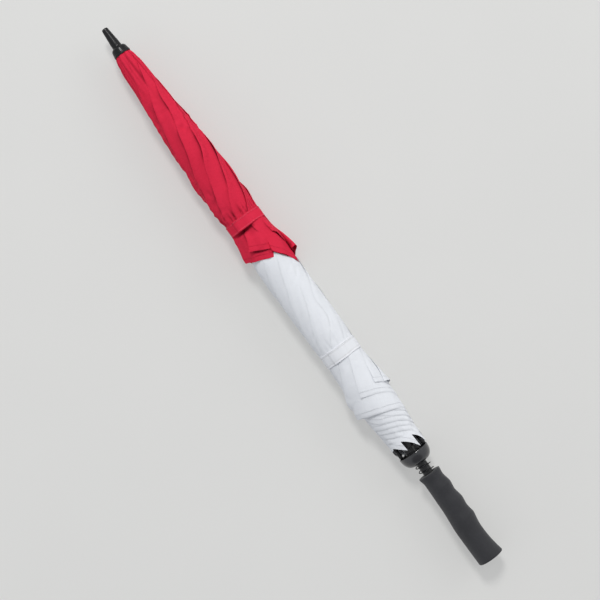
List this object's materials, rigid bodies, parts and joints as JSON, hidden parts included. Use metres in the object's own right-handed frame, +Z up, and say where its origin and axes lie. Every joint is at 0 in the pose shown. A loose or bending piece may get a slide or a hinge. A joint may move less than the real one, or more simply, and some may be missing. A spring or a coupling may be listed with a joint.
{
  "type": "golf umbrella",
  "caption": "Furled golf umbrella with a vented two-tier red and white canopy, sliding runner and hinged ribs, sprung tip cup and contoured dark grip, lying on its side.",
  "frame": {"origin": "middle of the umbrella's box, on the surface that it lies on", "axes": "+X along the shaft towards the ferrule, +Z up, +Y to the left seen from the handle"},
  "size_m": [1, 0.0743, 0.0691],
  "materials": {
    "shaft_coat": "satin black coat",
    "black_gloss": "gloss black",
    "black_satin": "satin black",
    "bright_wire": "plated",
    "rib_rod": "pultruded rod",
    "grip_rubber": "matte moulded",
    "red_cloth": "fine woven",
    "white_cloth": "fine woven"
  },
  "bodies": {
    "shaft": {"shaft": "shaft_coat", "ferrule": "black_gloss", "crown": "black_satin", "crown_ring": "bright_wire", "neck_sleeve": "black_satin", "grip_core": "black_satin", "grip": "grip_rubber", "cup_spring": "bright_wire"},
    "runner": {"runner": "black_satin"},
    "tip_cup": {"tip_cup": "black_satin"},
    "open_catch": {"open_catch": "bright_wire"},
    "rib_1": {"rib_1": "rib_rod", "rib_tip_1": "black_gloss"},
    "stretcher_1": {"stretcher_1": "bright_wire"},
    "gore_1": {"upper_gore_1": "red_cloth", "lower_gore_1": "white_cloth", "upper_band": "red_cloth", "lower_band": "white_cloth"},
    "rib_2": {"rib_2": "rib_rod", "rib_tip_2": "black_gloss"},
    "stretcher_2": {"stretcher_2": "bright_wire"},
    "gore_2": {"upper_gore_2": "red_cloth", "lower_gore_2": "white_cloth"},
    "rib_3": {"rib_3": "rib_rod", "rib_tip_3": "black_gloss"},
    "stretcher_3": {"stretcher_3": "bright_wire"},
    "gore_3": {"upper_gore_3": "red_cloth", "lower_gore_3": "white_cloth"},
    "rib_4": {"rib_4": "rib_rod", "rib_tip_4": "black_gloss"},
    "stretcher_4": {"stretcher_4": "bright_wire"},
    "gore_4": {"upper_gore_4": "red_cloth", "lower_gore_4": "white_cloth"},
    "rib_5": {"rib_5": "rib_rod", "rib_tip_5": "black_gloss"},
    "stretcher_5": {"stretcher_5": "bright_wire"},
    "gore_5": {"upper_gore_5": "red_cloth", "lower_gore_5": "white_cloth"},
    "rib_6": {"rib_6": "rib_rod", "rib_tip_6": "black_gloss"},
    "stretcher_6": {"stretcher_6": "bright_wire"},
    "gore_6": {"upper_gore_6": "red_cloth", "lower_gore_6": "white_cloth"},
    "rib_7": {"rib_7": "rib_rod", "rib_tip_7": "black_gloss"},
    "stretcher_7": {"stretcher_7": "bright_wire"},
    "gore_7": {"upper_gore_7": "red_cloth", "lower_gore_7": "white_cloth"},
    "rib_8": {"rib_8": "rib_rod", "rib_tip_8": "black_gloss"},
    "stretcher_8": {"stretcher_8": "bright_wire"},
    "gore_8": {"upper_gore_8": "red_cloth", "lower_gore_8": "white_cloth"},
    "upper_tab": {"upper_tab": "red_cloth"},
    "lower_tab": {"lower_tab": "white_cloth"}
  },
  "joints": [
    {"name": "runner_slide", "type": "slide", "parent": "shaft", "child": "runner", "axis": [1, 0, 0], "range_m": [0, 0.38733], "deforming": ["upper_gore_1", "lower_gore_1", "upper_gore_2", "lower_gore_2", "upper_gore_3", "lower_gore_3", "upper_gore_4", "lower_gore_4", "upper_gore_5", "lower_gore_5", "upper_gore_6", "lower_gore_6", "upper_gore_7", "lower_gore_7", "upper_gore_8", "lower_gore_8", "upper_band", "lower_band", "upper_tab", "lower_tab"]},
    {"name": "cup_slide", "type": "slide", "parent": "shaft", "child": "tip_cup", "axis": [-1, 0, 0], "range_m": [0, 0.01], "stiffness_N_per_m": 300, "springref_m": -0.01, "deforming": ["cup_spring"]},
    {"name": "catch_press", "type": "hinge", "parent": "shaft", "child": "open_catch", "pos_m": [0.07353, 0, 0.0269], "axis": [0, 1, 0], "range_deg": [0, 7], "stiffness_Nm_per_rad": 0.05},
    {"name": "rib_1_hinge", "type": "hinge", "parent": "shaft", "child": "rib_1", "pos_m": [0.45, 0.00356, 0.02291], "axis": [0, -0.9239, -0.3827], "range_deg": [0, 64.03]},
    {"name": "stretcher_1_hinge", "type": "hinge", "parent": "rib_1", "child": "stretcher_1", "pos_m": [0.08997, 0.0041, 0.0216], "axis": [0, 0.9239, 0.3827], "range_deg": [0, 123.76]},
    {"name": "gore_1_fan", "type": "hinge", "parent": "rib_1", "child": "gore_1", "pos_m": [0.46026, 0.00349, 0.02307], "axis": [-0.0167, -0.2176, 0.9759], "range_deg": [0, 40.59]},
    {"name": "rib_2_hinge", "type": "hinge", "parent": "shaft", "child": "rib_2", "pos_m": [0.45, 0.00859, 0.02794], "axis": [0, -0.3827, -0.9239], "range_deg": [0, 64.03]},
    {"name": "stretcher_2_hinge", "type": "hinge", "parent": "rib_2", "child": "stretcher_2", "pos_m": [0.08997, 0.0099, 0.0274], "axis": [0, 0.3827, 0.9239], "range_deg": [0, 123.76]},
    {"name": "gore_2_fan", "type": "hinge", "parent": "rib_2", "child": "gore_2", "pos_m": [0.46026, 0.00843, 0.02801], "axis": [-0.0167, -0.8439, 0.5362], "range_deg": [0, 40.59]},
    {"name": "rib_3_hinge", "type": "hinge", "parent": "shaft", "child": "rib_3", "pos_m": [0.45, 0.00859, 0.03506], "axis": [0, 0.3827, -0.9239], "range_deg": [0, 64.03]},
    {"name": "stretcher_3_hinge", "type": "hinge", "parent": "rib_3", "child": "stretcher_3", "pos_m": [0.08997, 0.0099, 0.0356], "axis": [0, -0.3827, 0.9239], "range_deg": [0, 123.76]},
    {"name": "gore_3_fan", "type": "hinge", "parent": "rib_3", "child": "gore_3", "pos_m": [0.46026, 0.00843, 0.03499], "axis": [-0.0167, -0.9759, -0.2176], "range_deg": [0, 40.59]},
    {"name": "rib_4_hinge", "type": "hinge", "parent": "shaft", "child": "rib_4", "pos_m": [0.45, 0.00356, 0.04009], "axis": [0, 0.9239, -0.3827], "range_deg": [0, 64.03]},
    {"name": "stretcher_4_hinge", "type": "hinge", "parent": "rib_4", "child": "stretcher_4", "pos_m": [0.08997, 0.0041, 0.0414], "axis": [0, -0.9239, 0.3827], "range_deg": [0, 123.76]},
    {"name": "gore_4_fan", "type": "hinge", "parent": "rib_4", "child": "gore_4", "pos_m": [0.46026, 0.00349, 0.03993], "axis": [-0.0167, -0.5362, -0.8439], "range_deg": [0, 40.59]},
    {"name": "rib_5_hinge", "type": "hinge", "parent": "shaft", "child": "rib_5", "pos_m": [0.45, -0.00356, 0.04009], "axis": [0, 0.9239, 0.3827], "range_deg": [0, 64.03]},
    {"name": "stretcher_5_hinge", "type": "hinge", "parent": "rib_5", "child": "stretcher_5", "pos_m": [0.08997, -0.0041, 0.0414], "axis": [0, -0.9239, -0.3827], "range_deg": [0, 123.76]},
    {"name": "gore_5_fan", "type": "hinge", "parent": "rib_5", "child": "gore_5", "pos_m": [0.46026, -0.00349, 0.03993], "axis": [-0.0167, 0.2176, -0.9759], "range_deg": [0, 40.59]},
    {"name": "rib_6_hinge", "type": "hinge", "parent": "shaft", "child": "rib_6", "pos_m": [0.45, -0.00859, 0.03506], "axis": [0, 0.3827, 0.9239], "range_deg": [0, 64.03]},
    {"name": "stretcher_6_hinge", "type": "hinge", "parent": "rib_6", "child": "stretcher_6", "pos_m": [0.08997, -0.0099, 0.0356], "axis": [0, -0.3827, -0.9239], "range_deg": [0, 123.76]},
    {"name": "gore_6_fan", "type": "hinge", "parent": "rib_6", "child": "gore_6", "pos_m": [0.46026, -0.00843, 0.03499], "axis": [-0.0167, 0.8439, -0.5362], "range_deg": [0, 40.59]},
    {"name": "rib_7_hinge", "type": "hinge", "parent": "shaft", "child": "rib_7", "pos_m": [0.45, -0.00859, 0.02794], "axis": [0, -0.3827, 0.9239], "range_deg": [0, 64.03]},
    {"name": "stretcher_7_hinge", "type": "hinge", "parent": "rib_7", "child": "stretcher_7", "pos_m": [0.08997, -0.0099, 0.0274], "axis": [0, 0.3827, -0.9239], "range_deg": [0, 123.76]},
    {"name": "gore_7_fan", "type": "hinge", "parent": "rib_7", "child": "gore_7", "pos_m": [0.46026, -0.00843, 0.02801], "axis": [-0.0167, 0.9759, 0.2176], "range_deg": [0, 40.59]},
    {"name": "rib_8_hinge", "type": "hinge", "parent": "shaft", "child": "rib_8", "pos_m": [0.45, -0.00356, 0.02291], "axis": [0, -0.9239, 0.3827], "range_deg": [0, 64.03]},
    {"name": "stretcher_8_hinge", "type": "hinge", "parent": "rib_8", "child": "stretcher_8", "pos_m": [0.08997, -0.0041, 0.0216], "axis": [0, 0.9239, -0.3827], "range_deg": [0, 123.76]},
    {"name": "gore_8_fan", "type": "hinge", "parent": "rib_8", "child": "gore_8", "pos_m": [0.46026, -0.00349, 0.02307], "axis": [-0.0167, 0.5362, 0.8439], "range_deg": [0, 40.59]},
    {"name": "upper_tab_peel", "type": "hinge", "parent": "gore_1", "child": "upper_tab", "pos_m": [0.132, -0.01367, 0.06082], "axis": [1, 0, 0], "range_deg": [0, 60]},
    {"name": "lower_tab_peel", "type": "hinge", "parent": "gore_1", "child": "lower_tab", "pos_m": [-0.111, -0.01367, 0.06082], "axis": [1, 0, 0], "range_deg": [0, 60]}
  ],
  "couplings": [
    {"joint": "rib_1_hinge", "follows": "runner_slide", "rad_per_m": 2.8851},
    {"joint": "stretcher_1_hinge", "follows": "runner_slide", "rad_per_m": 5.5767},
    {"joint": "gore_1_fan", "follows": "runner_slide", "rad_per_m": 1.8289},
    {"joint": "rib_2_hinge", "follows": "runner_slide", "rad_per_m": 2.8851},
    {"joint": "stretcher_2_hinge", "follows": "runner_slide", "rad_per_m": 5.5767},
    {"joint": "gore_2_fan", "follows": "runner_slide", "rad_per_m": 1.8289},
    {"joint": "rib_3_hinge", "follows": "runner_slide", "rad_per_m": 2.8851},
    {"joint": "stretcher_3_hinge", "follows": "runner_slide", "rad_per_m": 5.5767},
    {"joint": "gore_3_fan", "follows": "runner_slide", "rad_per_m": 1.8289},
    {"joint": "rib_4_hinge", "follows": "runner_slide", "rad_per_m": 2.8851},
    {"joint": "stretcher_4_hinge", "follows": "runner_slide", "rad_per_m": 5.5767},
    {"joint": "gore_4_fan", "follows": "runner_slide", "rad_per_m": 1.8289},
    {"joint": "rib_5_hinge", "follows": "runner_slide", "rad_per_m": 2.8851},
    {"joint": "stretcher_5_hinge", "follows": "runner_slide", "rad_per_m": 5.5767},
    {"joint": "gore_5_fan", "follows": "runner_slide", "rad_per_m": 1.8289},
    {"joint": "rib_6_hinge", "follows": "runner_slide", "rad_per_m": 2.8851},
    {"joint": "stretcher_6_hinge", "follows": "runner_slide", "rad_per_m": 5.5767},
    {"joint": "gore_6_fan", "follows": "runner_slide", "rad_per_m": 1.8289},
    {"joint": "rib_7_hinge", "follows": "runner_slide", "rad_per_m": 2.8851},
    {"joint": "stretcher_7_hinge", "follows": "runner_slide", "rad_per_m": 5.5767},
    {"joint": "gore_7_fan", "follows": "runner_slide", "rad_per_m": 1.8289},
    {"joint": "rib_8_hinge", "follows": "runner_slide", "rad_per_m": 2.8851},
    {"joint": "stretcher_8_hinge", "follows": "runner_slide", "rad_per_m": 5.5767},
    {"joint": "gore_8_fan", "follows": "runner_slide", "rad_per_m": 1.8289}
  ]
}
